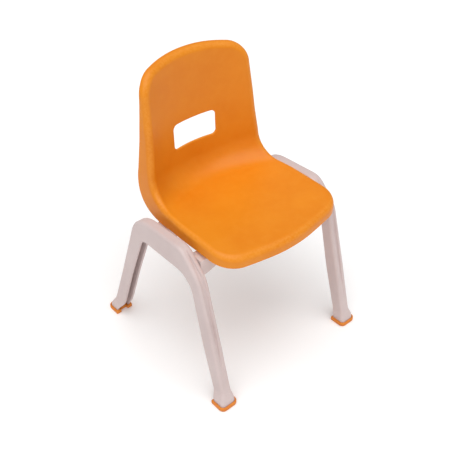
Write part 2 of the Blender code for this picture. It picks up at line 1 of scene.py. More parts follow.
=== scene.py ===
"""The looks of a small moulded stacking chair: fine meshes and plastic, rubber and plated-steel
finishes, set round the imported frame. Metres, +Z up, and the chair faces -Y."""

import math

import bmesh
import bpy
import numpy as np
from mathutils import Matrix, Vector


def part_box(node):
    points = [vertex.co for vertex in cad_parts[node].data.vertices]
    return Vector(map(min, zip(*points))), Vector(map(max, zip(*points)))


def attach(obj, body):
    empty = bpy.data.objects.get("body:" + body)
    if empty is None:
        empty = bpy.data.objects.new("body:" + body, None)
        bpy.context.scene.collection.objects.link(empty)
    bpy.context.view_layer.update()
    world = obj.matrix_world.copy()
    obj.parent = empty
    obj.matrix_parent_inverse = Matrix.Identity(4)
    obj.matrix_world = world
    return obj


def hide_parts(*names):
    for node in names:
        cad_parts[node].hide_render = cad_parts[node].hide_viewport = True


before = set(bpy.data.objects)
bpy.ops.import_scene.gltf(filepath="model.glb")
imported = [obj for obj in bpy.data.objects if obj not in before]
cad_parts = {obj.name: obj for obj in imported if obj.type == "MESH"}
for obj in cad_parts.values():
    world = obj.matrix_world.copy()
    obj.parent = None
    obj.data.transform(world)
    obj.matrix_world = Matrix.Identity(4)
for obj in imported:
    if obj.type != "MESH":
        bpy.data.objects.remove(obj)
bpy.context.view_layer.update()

GAP = 0.0003  # clearance between pieces that touch
SHARP = 40  # edges turned more than this many degrees stay crisp

# ------------------------------------------------------------------ outlines


def rounded_path(corners, run_steps, arc_steps):
    """Points along a path of straight runs, each corner (a, b, radius) turned as an arc."""
    spots = [Vector(corner[:2]) for corner in corners]
    ends = []
    for i, spot in enumerate(spots):
        radius = corners[i][2]
        if radius == 0:
            ends.append((spot, spot, []))
            continue
        before = (spots[i - 1] - spot).normalized()
        after = (spots[(i + 1) % len(spots)] - spot).normalized()
        half = before.angle(after) / 2
        reach = radius / math.tan(half)
        centre = spot + (before + after).normalized() * radius / math.sin(half)
        start, stop = spot + before * reach, spot + after * reach
        turn = (start - centre).angle_signed(stop - centre)
        arc = []
        for step in range(1, arc_steps):
            arc.append(centre + Matrix.Rotation(-turn * step / arc_steps, 2) @ (start - centre))
        ends.append((start, stop, arc))
    path = []
    for i, (start, stop, arc) in enumerate(ends):
        path.append(start)
        path.extend(arc)
        if stop is not start:
            path.append(stop)
        if i + 1 < len(ends):
            for step in range(1, run_steps[i]):
                path.append(stop.lerp(ends[i + 1][0], step / run_steps[i]))
    return np.array([point[:] for point in path])


def softened(points, rounds):
    """The same points with their bends eased, both ends kept."""
    points = points.copy()
    for _ in range(rounds):
        points[1:-1] = (points[:-2] + 2 * points[1:-1] + points[2:]) / 4
    return points


def resampled(path, count, closeness=None):
    """count + 1 points along a path, closer together where closeness is high."""
    steps = np.linalg.norm(np.diff(path, axis=0), axis=1)
    if closeness:
        steps = steps * closeness((path[1:] + path[:-1]) / 2)
    length = np.concatenate([[0.0], np.cumsum(steps)])
    wanted = np.linspace(0, length[-1], count + 1)
    return np.stack([np.interp(wanted, length, path[:, i]) for i in (0, 1)], axis=1)


def four_sides(outline, counts, closeness=None):
    """A closed outline resampled side by side, counter-clockwise from its lower left corner."""
    ways = ((-1, -1), (1, -1), (1, 1), (-1, 1))
    cuts = [int(np.argmax(outline @ np.array(way))) for way in ways]
    loop = []
    for i, count in enumerate(counts):
        run = np.roll(outline, -cuts[i], axis=0)
        stop = (cuts[(i + 1) % 4] - cuts[i]) % len(outline)
        loop.extend(resampled(run[: stop + 1], count, closeness)[:-1])
    return np.array(loop)


def ease(value):
    """0 to 1 with flat ends."""
    value = np.clip(value, 0.0, 1.0)
    return value * value * (3 - 2 * value)


def unit(vectors):
    return vectors / np.linalg.norm(vectors, axis=-1, keepdims=True)


def dot(first, second):
    return np.sum(first * second, axis=-1, keepdims=True)


# -------------------------------------------------------------------- meshes


def new_piece(name, mesh, paint, node):
    """Puts a mesh in the scene as the piece that stands for a CAD node."""
    piece = bpy.data.objects.new(name, mesh)
    bpy.context.scene.collection.objects.link(piece)
    mesh.materials.clear()
    mesh.materials.append(paint)
    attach(piece, "root")
    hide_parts(node)
    return piece


def mesh_of(name, build):
    """A mesh filled by build(bm), facing out, smooth but for its sharp edges."""
    bm = bmesh.new()
    build(bm)
    bmesh.ops.recalc_face_normals(bm, faces=bm.faces)
    mesh = bpy.data.meshes.new(name)
    bm.to_mesh(mesh)
    bm.free()
    mesh.shade_smooth()
    mesh.set_sharp_from_angle(angle=math.radians(SHARP))
    return mesh


def skin_rings(bm, rings, capped=True):
    """Faces between rings of points, and over the first and the last if capped."""
    for first, second in zip(rings, rings[1:]):
        for i in range(len(first)):
            j = (i + 1) % len(first)
            bm.faces.new((first[i], first[j], second[j], second[i]))
    if capped:
        bm.faces.new(rings[0])
        bm.faces.new(rings[-1])


def cut(mesh, tools, operation="DIFFERENCE", sharp=SHARP):
    """The mesh with the tool meshes cut from it or joined to it."""
    bm = bmesh.new()
    for tool in tools:
        bm.from_mesh(tool)
    together = bpy.data.meshes.new("tool")
    bm.to_mesh(together)
    bm.free()
    work = bpy.data.objects.new("work", mesh)
    tool = bpy.data.objects.new("tool", together)
    for thing in (work, tool):
        bpy.context.scene.collection.objects.link(thing)
    modifier = work.modifiers.new("cut", "BOOLEAN")
    modifier.operation = operation
    modifier.object = tool
    graph = bpy.context.evaluated_depsgraph_get()
    result = bpy.data.meshes.new_from_object(work.evaluated_get(graph), depsgraph=graph)
    result.name = mesh.name
    bpy.data.objects.remove(work)
    bpy.data.objects.remove(tool)
    result.shade_smooth()
    result.set_sharp_from_angle(angle=math.radians(sharp))
    return result


def placed(mesh, matrix):
    moved = mesh.copy()
    moved.transform(matrix)
    return moved


def ring_of(bm, reach, z, sides):
    """A ring of points about Z. reach is a radius, or a function of the angle."""
    ring = []
    for i in range(sides):
        angle = 2 * math.pi * i / sides
        radius = reach(angle) if callable(reach) else reach
        ring.append(bm.verts.new((radius * math.cos(angle), radius * math.sin(angle), z)))
    return ring


def lathed(name, profile, sides=32):
    """A solid from rings of (radius or function of the angle, z), closed over at both ends."""

    def build(bm):
        skin_rings(bm, [ring_of(bm, reach, z, sides) for reach, z in profile])

    return mesh_of(name, build)


# ---------------------------------------------------------------- seat shell

WALL = 0.0038
SHELL_TOP = 0.4895
SEAT_HALF_WIDTH = 0.1228
BACK_HALF_WIDTH = 0.1114
SHELL_DRAFT = 0.04
DISH = 2.2  # how late the section turns from the middle profile to the side one
GRIP_HALF_WIDTH = 0.0425
GRIP_BOTTOM = 0.3265
GRIP_TOP = 0.3692
GRIP_RADIUS = 0.0075
FLANGE_EASE = 0.010  # how far the flange's changes of reach are spread
GRIP_MARGIN = 0.0085  # how far round the hand-hole the mesh follows its outline
LIP = 0.0017  # rounding of the shell's free edges
GRIP_WEAR_AND_HIGHLIGHT = [0.4, 0.9]  # painted highlight, with rubbed wear, on the last rows before the hand-hole's edge
INNER_WEAR_AND_HIGHLIGHT = 0.3  # how much of the outer skin's painted highlight and wear the inner skin gets

ACROSS, ALONG_STEPS = 112, 176
ROLL_STEPS, FLANGE_STEPS, GRIP_STEPS, LIP_STEPS = 12, 8, 7, 4
FIT_ROUNDS = 1500  # passes that spread the hand-hole's fit over the panel
SMALL = 0.0006  # step used to measure the surface's slope

# Radius of the rolled rim: at the sides, and what the front and the top add.
ROLL, FRONT_ROLL_MORE, TOP_ROLL_MORE, ROLL_ONSET = 0.0082, 0.0038, 0.0030, 1.5
LEAST_FLANGE = 0.0010
FOLD_Y, FOLD_DENSITY, FOLD_SPREAD = 0.050, 2.0, 0.040  # closer mesh rows at the fold

PROFILE_RUNS, PROFILE_ARC = (60, 110, 70, 70), 70
MIDDLE_PROFILE = (
    (-0.1490, 0.2680, 0),
    (-0.0800, 0.2700, 0.30),
    (0.0882, 0.2650, 0.036),
    (0.0925, 0.3850, 0.50),
    (0.0993, SHELL_TOP, 0),
)
SIDE_PROFILE = (
    (-0.1490, 0.2725, 0),
    (-0.0800, 0.2785, 0.30),
    (0.0405, 0.2825, 0.044),
    (0.0468, 0.3850, 0.50),
    (0.0590, SHELL_TOP, 0),
)
MIDDLE, SIDE = [
    softened(rounded_path(corners, PROFILE_RUNS, PROFILE_ARC), 30)
    for corners in (MIDDLE_PROFILE, SIDE_PROFILE)
]
MEAN = (MIDDLE + SIDE) / 2
ALONG = np.concatenate([[0.0], np.cumsum(np.linalg.norm(np.diff(MEAN, axis=0), axis=1))])
BACK_Y = 0.060  # the seat ends and the back begins here
BACK_START = int(np.argmin(np.abs(MEAN[:, 0] - BACK_Y)))


def along_at_y(y):
    """Length along the profile where the shell's mean section is at y."""
    return np.interp(y, MEAN[:, 0], ALONG)


def along_at_z(z):
    """Length along the profile where the back is at z."""
    return np.interp(z, MEAN[BACK_START:, 1], ALONG[BACK_START:])


def surface(spots):
    """The shell's top and front face at (x across, s along the profile) points."""
    x, s = spots[..., 0], spots[..., 1]
    blend = (np.abs(x) / SEAT_HALF_WIDTH) ** DISH
    sides = []
    for i in (0, 1):
        middle, side = np.interp(s, ALONG, MIDDLE[:, i]), np.interp(s, ALONG, SIDE[:, i])
        sides.append(middle + (side - middle) * blend)
    return np.stack([x, *sides], axis=-1)


def shell_outline():
    """The rim as a closed run of (x, s) points, counter-clockwise from the front."""
    right = [
        (SEAT_HALF_WIDTH + 0.0004, along_at_y(-0.1285), 0.041),
        (SEAT_HALF_WIDTH, along_at_y(0.0), 0.30),
        (BACK_HALF_WIDTH, along_at_z(0.360), 0.30),
        (0.1034, along_at_z(0.473), 0.037),
    ]
    left = [(-x, s, radius) for x, s, radius in reversed(right)]
    front, top = (0.0, along_at_y(-0.1465), 0.30), (0.0, ALONG[-1], 0.42)
    corners = [front, *right, top, *left]
    return rounded_path(corners, (1,) * (len(corners) - 1), 60)


def flange_reach(s):
    """How far the flange reaches below or behind the surface at its edge."""
    knots = (
        (0.000, 0.0190),
        (0.050, 0.0190),
        (0.120, 0.0215),
        (0.176, 0.0232),
        (0.191, 0.0275),
        (0.206, 0.0362),
        (0.216, 0.0368),
        (0.236, 0.0293),
        (0.265, 0.0252),
        (0.300, 0.0205),
        (0.330, 0.0155),
        (0.365, 0.0105),
        (ALONG[-1], 0.0105),
    )
    lengths, reaches = np.array(knots).T
    spans = np.linspace(-FLANGE_EASE, FLANGE_EASE, 9)
    return np.mean([np.interp(s + span, lengths, reaches) for span in spans], axis=0)


def rim_rows():
    """The panel's edge as (x, s) points, and the rows of 3-D points from there round the
    roll and down the flange."""
    fold = along_at_y(FOLD_Y)

    def closeness(middles):
        return 1 + FOLD_DENSITY * np.exp(-(((middles[:, 1] - fold) / FOLD_SPREAD) ** 2))

    sides = (ACROSS, ALONG_STEPS, ACROSS, ALONG_STEPS)
    loop = four_sides(shell_outline(), sides, closeness)
    steps = np.roll(loop, -1, axis=0) - np.roll(loop, 1, axis=0)
    normals = unit(np.stack([steps[:, 1], -steps[:, 0]], axis=1))
    forward, upward = np.maximum(0, -normals[:, 1]), np.maximum(0, normals[:, 1])
    radius = ROLL + FRONT_ROLL_MORE * forward**ROLL_ONSET + TOP_ROLL_MORE * upward**ROLL_ONSET
    radius = radius[:, None]
    inset = radius
    for _ in range(4):
        edge = loop - inset * normals
        slope = (surface(edge + SMALL * normals) - surface(edge - SMALL * normals)) / (2 * SMALL)
        step = np.array([0.0, SMALL])
        along = surface(edge + step) - surface(edge - step)
        flange = unit(np.stack([0 * along[:, 0], along[:, 2], -along[:, 1]], axis=1))
        out = unit(slope)
        turn = np.arccos(dot(out, flange))
        length = np.linalg.norm(slope, axis=1, keepdims=True)
        inset = radius * (1 - np.cos(turn)) / (length * np.sin(turn))
    inward = unit(flange - dot(flange, out) * out)
    start = surface(edge)
    rows = []
    for step in range(1, ROLL_STEPS + 1):
        angle = turn * step / ROLL_STEPS
        rows.append(start + radius * (np.sin(angle) * out + (1 - np.cos(angle)) * inward))
    straight = np.maximum(flange_reach(edge[:, 1:]) - radius, LEAST_FLANGE)
    draft = unit(out - dot(out, flange) * flange) * SHELL_DRAFT
    rolled = rows[-1]
    for step in range(1, FLANGE_STEPS + 1):
        rows.append(rolled + (flange + draft) * straight * step / FLANGE_STEPS)
    return edge, rows


def panel_grid(edge):
    """(x, s) points that fill the panel inside its edge, by blending its four sides."""
    front = edge[: ACROSS + 1]
    right = edge[ACROSS : ACROSS + ALONG_STEPS + 1]
    top = edge[ACROSS + ALONG_STEPS : 2 * ACROSS + ALONG_STEPS + 1][::-1]
    left = np.concatenate([edge[2 * ACROSS + ALONG_STEPS :], edge[:1]])[::-1]
    u = np.linspace(0, 1, ACROSS + 1)[:, None, None]
    v = np.linspace(0, 1, ALONG_STEPS + 1)[None, :, None]
    corners = (1 - u) * (1 - v) * front[0] + u * (1 - v) * front[-1]
    corners = corners + (1 - u) * v * top[0] + u * v * top[-1]
    sides = (1 - v) * front[:, None] + v * top[:, None] + (1 - u) * left[None] + u * right[None]
    return sides - corners


def grip_ring(grow, counts):
    """The hand-hole's outline grown on all sides, as (x, s) points."""
    half, radius = GRIP_HALF_WIDTH + grow, GRIP_RADIUS + grow
    low, high = GRIP_BOTTOM - grow, GRIP_TOP + grow
    corners = [(x, z, radius) for x, z in ((-half, low), (half, low), (half, high), (-half, high))]
    ring = four_sides(rounded_path(corners, (1,) * 3, 24), counts)
    heights = ring[:, 1].copy()
    ring[:, 1] = along_at_z(heights)
    for _ in range(4):
        ring[:, 1] += heights - surface(ring)[:, 2]
    return ring


def around(low_i, high_i, low_j, high_j):
    """Grid places round a block of cells, counter-clockwise from its lower left corner."""
    loop = [(i, low_j) for i in range(low_i, high_i)]
    loop += [(high_i, j) for j in range(low_j, high_j)]
    loop += [(i, high_j) for i in range(high_i, low_i, -1)]
    return loop + [(low_i, j) for j in range(high_j, low_j, -1)]


def grip_block(grid):
    """Where the hand-hole's block of cells lies in the grid, and its outline's points."""
    level = (along_at_z(GRIP_BOTTOM) + along_at_z(GRIP_TOP)) / 2
    middle = int(np.argmin(np.abs(grid[ACROSS // 2, :, 1] - level)))
    low_i = int(np.argmin(np.abs(grid[:, middle, 0] + GRIP_HALF_WIDTH + GRIP_MARGIN)))
    column = grid[ACROSS // 2, :, 1]
    low_j = int(np.argmin(np.abs(column - along_at_z(GRIP_BOTTOM - GRIP_MARGIN))))
    high_j = int(np.argmin(np.abs(column - along_at_z(GRIP_TOP + GRIP_MARGIN))))
    return low_i, ACROSS - low_i, low_j, high_j


def fitted_grid(grid, block, ring):
    """The grid moved smoothly so that the block's outline lies on the ring."""
    shift, held = np.zeros_like(grid), np.zeros(grid.shape[:2], bool)
    held[[0, -1]] = held[:, [0, -1]] = True
    for place, target in zip(around(*block), ring):
        shift[place] = target - grid[place]
        held[place] = True
    free = ~held[1:-1, 1:-1, None]
    for _ in range(FIT_ROUNDS):
        mean = (shift[:-2, 1:-1] + shift[2:, 1:-1] + shift[1:-1, :-2] + shift[1:-1, 2:]) / 4
        shift[1:-1, 1:-1] = np.where(free, mean, shift[1:-1, 1:-1])
    return grid + shift


def shell_sheet():
    """The shell's outer skin: its points, its faces, its two free edges each with the row
    before it, and how much painted highlight and rubbed wear each point gets."""
    edge, rim = rim_rows()
    grid = panel_grid(edge)
    block = grip_block(grid)
    counts = (block[1] - block[0], block[3] - block[2]) * 2
    grid = fitted_grid(grid, block, grip_ring(GRIP_MARGIN, counts))
    low_i, high_i, low_j, high_j = block
    inside = np.zeros(grid.shape[:2], bool)
    inside[low_i + 1 : high_i, low_j + 1 : high_j] = True
    index = np.full(grid.shape[:2], -1)
    index[~inside] = np.arange((~inside).sum())
    points, wear_and_highlight = [surface(grid[~inside])], [np.zeros((~inside).sum())]
    faces = []
    for i in range(ACROSS):
        for j in range(ALONG_STEPS):
            if not (low_i <= i < high_i and low_j <= j < high_j):
                corners = index[i, j], index[i + 1, j], index[i + 1, j + 1], index[i, j + 1]
                faces.append([int(corner) for corner in corners])
    total = len(points[0])

    def add_rows(ring, rows, highlit_and_worn, outward):
        """Rows that go on from a ring of points; returns the last two rings."""
        nonlocal total
        before = ring
        for row, amount in zip(rows, highlit_and_worn):
            following = list(range(total, total + len(row)))
            total += len(row)
            points.append(row)
            wear_and_highlight.append(np.full(len(row), amount))
            for i in range(len(ring)):
                j = (i + 1) % len(ring)
                quad = [ring[i], following[i], following[j], ring[j]]
                faces.append(quad if outward else quad[::-1])
            before, ring = ring, following
        return before, ring

    rim_ring = [int(index[place]) for place in around(0, ACROSS, 0, ALONG_STEPS)]
    shares = [(step + 1) / ROLL_STEPS for step in range(ROLL_STEPS)]
    # Painted highlight along the rolled rim: palest at the middle of the roll, where it catches
    # the light, none on the flange.
    highlit_and_worn = [max(0.0, math.sin(math.pi * share)) for share in shares] + [0.0] * FLANGE_STEPS
    rim_end = add_rows(rim_ring, rim, highlit_and_worn, True)
    grip_ring_start = [int(index[place]) for place in around(*block)]
    grows = np.linspace(GRIP_MARGIN, LIP, GRIP_STEPS + 1)[1:]
    rows = [surface(grip_ring(grow, counts)) for grow in grows]
    highlit_and_worn = [0.0] * (GRIP_STEPS - len(GRIP_WEAR_AND_HIGHLIGHT)) + GRIP_WEAR_AND_HIGHLIGHT
    grip_end = add_rows(grip_ring_start, rows, highlit_and_worn, False)
    return np.concatenate(points), faces, (rim_end, grip_end), np.concatenate(wear_and_highlight)


def point_normals(points, faces):
    quads = np.array(faces)
    across = points[quads[:, 2]] - points[quads[:, 0]]
    along = points[quads[:, 3]] - points[quads[:, 1]]
    normals = np.zeros_like(points)
    for corner in range(4):
        np.add.at(normals, quads[:, corner], np.cross(across, along))
    return unit(normals)


def shell_mesh():
    """The skin given its wall: an inner skin and rounded free edges."""
    outer, faces, free_edges, highlit_and_worn = shell_sheet()
    normals = point_normals(outer, faces)
    count = len(outer)
    points, wear_and_highlight = [outer, outer - WALL * normals], [highlit_and_worn, INNER_WEAR_AND_HIGHLIGHT * highlit_and_worn]
    faces = faces + [[corner + count for corner in reversed(quad)] for quad in faces]
    total = 2 * count
    for number, (before, ring) in enumerate(free_edges):
        normal = normals[ring]
        away = outer[ring] - outer[before]
        away = unit(away - dot(away, normal) * normal)
        last = ring
        rows = []
        for turned in (range(1, LIP_STEPS + 1), range(LIP_STEPS, 0, -1)):
            for step in turned:
                angle = math.pi / 2 * step / LIP_STEPS
                depth = LIP * (1 - math.cos(angle))
                if turned.step < 0:
                    depth = WALL - depth
                rows.append(outer[ring] + LIP * math.sin(angle) * away - depth * normal)
        rings = []
        for row in rows:
            rings.append(list(range(total, total + len(row))))
            total += len(row)
            points.append(row)
            # The rounded lips of the free edges get the full painted highlight.
            wear_and_highlight.append(np.ones(len(row)))
        for following in [*rings, [corner + count for corner in ring]]:
            for i in range(len(ring)):
                j = (i + 1) % len(ring)
                quad = [last[i], following[i], following[j], last[j]]
                faces.append(quad if number == 0 else quad[::-1])
            last = following
    mesh = bpy.data.meshes.new("seat_shell_moulding")
    mesh.from_pydata(np.concatenate(points).tolist(), [], faces)
    # Per-point amount of painted highlight and rubbed wear, read by the orange plastic's shader.
    attribute = mesh.attributes.new("wear_and_highlight", "FLOAT", "POINT")
    attribute.data.foreach_set("value", np.concatenate(wear_and_highlight).astype(np.float32))
    mesh.validate()
    return mesh


SCREW_RADIUS = 0.0022
BOSS_RADIUS = 0.0060
BOSS_FILLET = 0.0025
BOSS_EDGE = 0.0004
FILLET_STEPS = 6
PILOT_TOP = 0.2610


def centre_of(node):
    low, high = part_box(node)
    return (low + high) / 2


def seat_height(place):
    """Height of the seat's top face over a place."""
    lengths = ALONG[ALONG < along_at_y(BACK_Y)]
    section = surface(np.stack([np.full_like(lengths, place.x), lengths], axis=1))
    return float(np.interp(place.y, section[:, 1], section[:, 2]))


def boss_mesh(place, low):
    """A screw boss with a pilot hole, spread where it meets the seat's underside."""
    underside = seat_height(place) - WALL
    pilot, edge = SCREW_RADIUS + GAP, BOSS_EDGE
    profile = [(pilot * 0.2, PILOT_TOP), (pilot, PILOT_TOP - pilot * 0.5), (pilot, low + edge)]
    profile += [(pilot + edge, low), (BOSS_RADIUS - edge, low), (BOSS_RADIUS, low + edge)]
    for step in range(FILLET_STEPS + 1):
        angle = math.pi / 2 * step / FILLET_STEPS
        spread = BOSS_FILLET * (1 - math.cos(angle))
        profile.append((BOSS_RADIUS + spread, underside - BOSS_FILLET * (1 - math.sin(angle))))
    profile.append((BOSS_RADIUS + BOSS_FILLET, underside + WALL / 2))
    return placed(lathed("boss", profile), Matrix.Translation((place.x, place.y, 0)))


def seat_shell(paint):
    bosses = []
    rail_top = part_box("front_cross_rail")[1].z
    for where in ("front_left", "front_right", "rear_left", "rear_right"):
        bosses.append(boss_mesh(centre_of("seat_screw_" + where), rail_top + GAP))
    moulding = cut(shell_mesh(), bosses, "UNION", sharp=50)
    new_piece("seat_shell_moulding", moulding, paint, "seat_shell")


# ---------------------------------------------------------------- leg frames

FRAME_X = 0.1508
LEAN = 0.0060
FOOT_Y = 0.1588
FOOT_SPLAY = 0.0056
FOOT_DEPTH = 0.0232
FRAME_TOP = 0.2668
BEND_RISE = 0.0018
LEG_WIDTH, FOOT_WIDTH = 0.0190, 0.0280
LEG_WALL, LEG_WEB, FOOT_WALL = 0.0040, 0.0052, 0.0048
LEG_END_Z = 0.0040
FOOT_FLAT_TOP, FLARE_TOP = 0.0105, 0.030
FLUTE_DEPTH = 0.0032
FLUTE_END_Y = -0.030  # no groove behind here
FLUTE_MOUTH, FLUTE_BANK, FLUTE_NARROWEST = 0.24, 0.15, 0.15  # shares of the leg's width
LEG_EDGE, FOOT_EDGE = 0.0048, 0.0060  # rounding of the leg's two outer edges
LEG_FREE_EDGE = 0.0010
LEG_INNER_FILLET = 0.0014

FRAME_RUNS = (4, 8, 14, 14, 3, 18, 14, 14, 8, 4)
FRAME_ARC = 18
SECTION_RUNS = (5, 40, 5, 1, 5, 4, 5)
SECTION_ARC = 6


def frame_paths():
    """The arch from the side, foot to foot: its outer edge and its walls' free edge."""
    outer = [
        (-FOOT_Y, LEG_END_Z, 0),
        (-FOOT_Y, FOOT_FLAT_TOP, 0),
        (-0.1510, FLARE_TOP, 0),
        (-0.1297, 0.1100, 0.40),
        (-0.0957, 0.2290, 0.050),
        (-0.0560, FRAME_TOP + BEND_RISE, 0.030),
        (0.0600, FRAME_TOP - 0.0026, 0.0480),
        (0.1102, 0.1260, 0.40),
        (0.1467, FLARE_TOP, 0),
        (FOOT_Y, FOOT_FLAT_TOP, 0),
        (FOOT_Y, LEG_END_Z, 0),
    ]
    inner = [
        (-FOOT_Y + FOOT_DEPTH, LEG_END_Z, 0),
        (-FOOT_Y + FOOT_DEPTH, FOOT_FLAT_TOP, 0),
        (-0.1283, FLARE_TOP, 0),
        (-0.1046, 0.1080, 0.40),
        (-0.0794, 0.2100, 0.034),
        (-0.0590, 0.2262, 0.034),
        (0.0435, 0.2262, 0.020),
        (0.0835, 0.1260, 0.40),
        (0.1185, FLARE_TOP, 0),
        (FOOT_Y - FOOT_DEPTH, FOOT_FLAT_TOP, 0),
        (FOOT_Y - FOOT_DEPTH, LEG_END_Z, 0),
    ]
    return [
        softened(rounded_path(corners, FRAME_RUNS, FRAME_ARC), 8) for corners in (outer, inner)
    ]


def flare(height):
    """1 in the foot, 0 above the flare."""
    return 1 - ease((height - FOOT_FLAT_TOP) / (FLARE_TOP - FOOT_FLAT_TOP))


def flute(y, z):
    """Depth and width, 0 to 1, of the groove down the front of each front leg."""
    if y > FLUTE_END_Y:
        return 0.0, 0.0
    width = ease((0.272 - z) / 0.045) * (0.35 + 0.65 * ease((z - 0.040) / 0.170))
    return ease((0.270 - z) / 0.020) * ease((z - 0.045) / 0.090), width


def channel_section(width, depth, wall, web, edge, groove):
    """The leg's section, as (inward from the outer face, down from the outer edge)."""
    corners = [
        (0.0, depth, LEG_FREE_EDGE),
        (0.0, 0.0, edge),
        (width, 0.0, edge),
        (width, depth, LEG_FREE_EDGE),
        (width - wall, depth, LEG_FREE_EDGE),
        (width - wall, web, LEG_INNER_FILLET),
        (wall, web, LEG_INNER_FILLET),
        (wall, depth, LEG_FREE_EDGE),
    ]
    loop = rounded_path(corners, SECTION_RUNS, SECTION_ARC)
    deep, wide = groove
    share = np.abs(loop[:, 0] / width - 0.5) / max(wide, FLUTE_NARROWEST)
    in_skin = loop[:, 1] < wall / 2
    loop[:, 1] += FLUTE_DEPTH * deep * ease((FLUTE_MOUTH - share) / FLUTE_BANK) * in_skin
    return loop


def frame_face_x(z):
    """|x| of the leg frame's outer face at a height, without its foot's flare."""
    return FRAME_X - LEAN * z


def wall_frame(side, y, z):
    """A frame on the inner face of a leg frame's channel wall, its Z pointing outboard."""
    tilt = math.radians(90) - math.atan(LEAN)
    place = Matrix.Translation((side * (frame_face_x(z) - LEG_WIDTH), y, z))
    return place @ Matrix.Rotation(side * tilt, 4, "Y")


BOLT_RADIUS = 0.0025
BOLT_LEVELS = (0.2290, 0.2415)
BOLT_HOLE = (-0.012, 0.010)  # from inside the rail's end to the channel's hollow
RAILS = ("front_cross_rail", "rear_cross_rail")


def bolt_frames(side, rail):
    y = centre_of(rail).y
    return [wall_frame(side, y, z) for z in BOLT_LEVELS]


def hole_tool(radius, low, high):
    return lathed("hole", [(radius, low), (radius, high)], 40)


def leg_frame(side, word, paint):
    def build(bm):
        rings = []
        for outer, inner in zip(*frame_paths()):
            depth = np.linalg.norm(inner - outer)
            down = (inner - outer) / depth
            spread = flare(outer[1])
            width = LEG_WIDTH + (FOOT_WIDTH - LEG_WIDTH) * spread
            wall = LEG_WALL + (FOOT_WALL - LEG_WALL) * spread
            web = LEG_WEB + (FOOT_WALL - LEG_WEB) * spread
            edge = LEG_EDGE + (FOOT_EDGE - LEG_EDGE) * spread
            ring = []
            for inward, along in channel_section(width, depth, wall, web, edge, flute(*outer)):
                y, z = outer + down * along
                x = frame_face_x(z) + FOOT_SPLAY * spread - inward
                ring.append(bm.verts.new((side * x, y, z)))
            rings.append(ring)
        skin_rings(bm, rings)

    holes = []
    for rail in RAILS:
        for place in bolt_frames(side, rail):
            holes.append(placed(hole_tool(BOLT_RADIUS + GAP, *BOLT_HOLE), place))
    mesh = cut(mesh_of(f"leg_arch_{word}", build), holes)
    new_piece(f"leg_arch_{word}", mesh, paint, f"leg_frame_{word}")


# ----------------------------------------------------------------- foot caps

CAP_WALL = 0.0028
CAP_HEIGHT = 0.0077
CAP_CORNER = 0.0085
CAP_NOTCH = 0.0052
CAP_FLOOR = LEG_END_Z - GAP
CAP_SOLE_EDGE, CAP_TOP_EDGE = 0.0018, 0.0016
CAP_EDGE_STEPS = 7
CAP_MOUTH, POCKET_MOUTH = 0.0019, 0.0004  # rounding where the cap's channel opens
POCKET_LEVELS = ((CAP_FLOOR, GAP), (CAP_HEIGHT - 0.0007, GAP), (CAP_HEIGHT + 0.0005, 0.0010))


def shoe_loop(grow, rounding, web, mouth):
    """The leg's channel-shaped end grown on all sides, as (inward, along) points. Its walls
    are joined by a web, and mouth rounds the corners where it opens."""
    wall = FOOT_WALL + grow
    near, far = -grow, FOOT_WIDTH + grow
    front, back = -grow, FOOT_DEPTH + grow
    corners = [
        (near, back, mouth),
        (near, front, rounding),
        (far, front, rounding),
        (far, back, mouth),
        (FOOT_WIDTH - wall, back, mouth),
        (FOOT_WIDTH - wall, web, mouth),
        (wall, web, mouth),
        (wall, back, mouth),
    ]
    return rounded_path(corners, (4, 4, 4, 1, 1, 3, 1), 9)


def foot_cap(side, end, word, paint):
    """end is -1 at the front and 1 at the rear."""
    outer_x = frame_face_x((LEG_END_Z + FOOT_FLAT_TOP) / 2) + FOOT_SPLAY

    def block(bm, rows):
        rings = []
        for loop, z in rows:
            ring = []
            for inward, along in loop:
                place = (side * (outer_x - inward), end * (FOOT_Y - along), z)
                ring.append(bm.verts.new(place))
            rings.append(ring)
        skin_rings(bm, rings)

    def shoe(bm):
        rows = []
        quarter = [math.pi / 2 * step / CAP_EDGE_STEPS for step in range(CAP_EDGE_STEPS + 1)]
        for angle in quarter:
            inset, rise = 1 - math.sin(angle), 1 - math.cos(angle)
            rows.append((CAP_SOLE_EDGE * inset, CAP_SOLE_EDGE * rise))
        for angle in reversed(quarter):
            inset, rise = 1 - math.sin(angle), 1 - math.cos(angle)
            rows.append((CAP_TOP_EDGE * inset, CAP_HEIGHT - CAP_TOP_EDGE * rise))
        loops = []
        for inset, z in rows:
            grow = CAP_WALL - inset
            web = FOOT_DEPTH + grow - CAP_NOTCH
            loop = shoe_loop(grow, CAP_CORNER - inset, web, CAP_MOUTH - inset / 2)
            loops.append((loop, z))
        block(bm, loops)

    def pocket(bm):
        loops = []
        for z, grow in POCKET_LEVELS:
            loop = shoe_loop(grow, FOOT_EDGE + grow, FOOT_WALL + grow, POCKET_MOUTH)
            loops.append((loop, z))
        block(bm, loops)

    name = f"foot_shoe_{word}"
    mesh = cut(mesh_of(name, shoe), [mesh_of(name + "_pocket", pocket)])
    new_piece(name, mesh, paint, f"foot_cap_{word}")


# ------------------------------------------------------------- cross rails

RAIL_DEPTH = 0.024
RAIL_TOP = 0.2500
RAIL_END_BOTTOM = 0.2200
RAIL_MIDDLE_BOTTOM = 0.2340
RAIL_HAUNCH = 0.060
HAUNCH_STEPS = 20
RAIL_EDGE = 0.0013
RAIL_WALL = 0.0030
RAIL_WEB = 0.0035
RAIL_END_WALL = 0.0060
RAIL_OPENING = -0.02  # the hollow's bottom against the rail's: it opens downwards
RAIL_INNER_EDGE = 0.0008
BEVEL_ANGLE = 50
SCREW_HOLE = (0.2, 0.3)
RAIL_END_X = frame_face_x(RAIL_TOP) - LEG_WIDTH - GAP


def rail_bottom(x):
    """The rail's lower edge: deep at its ends, shallow in the middle."""
    rise = ease((RAIL_END_X - abs(x)) / RAIL_HAUNCH)
    return RAIL_END_BOTTOM + (RAIL_MIDDLE_BOTTOM - RAIL_END_BOTTOM) * rise


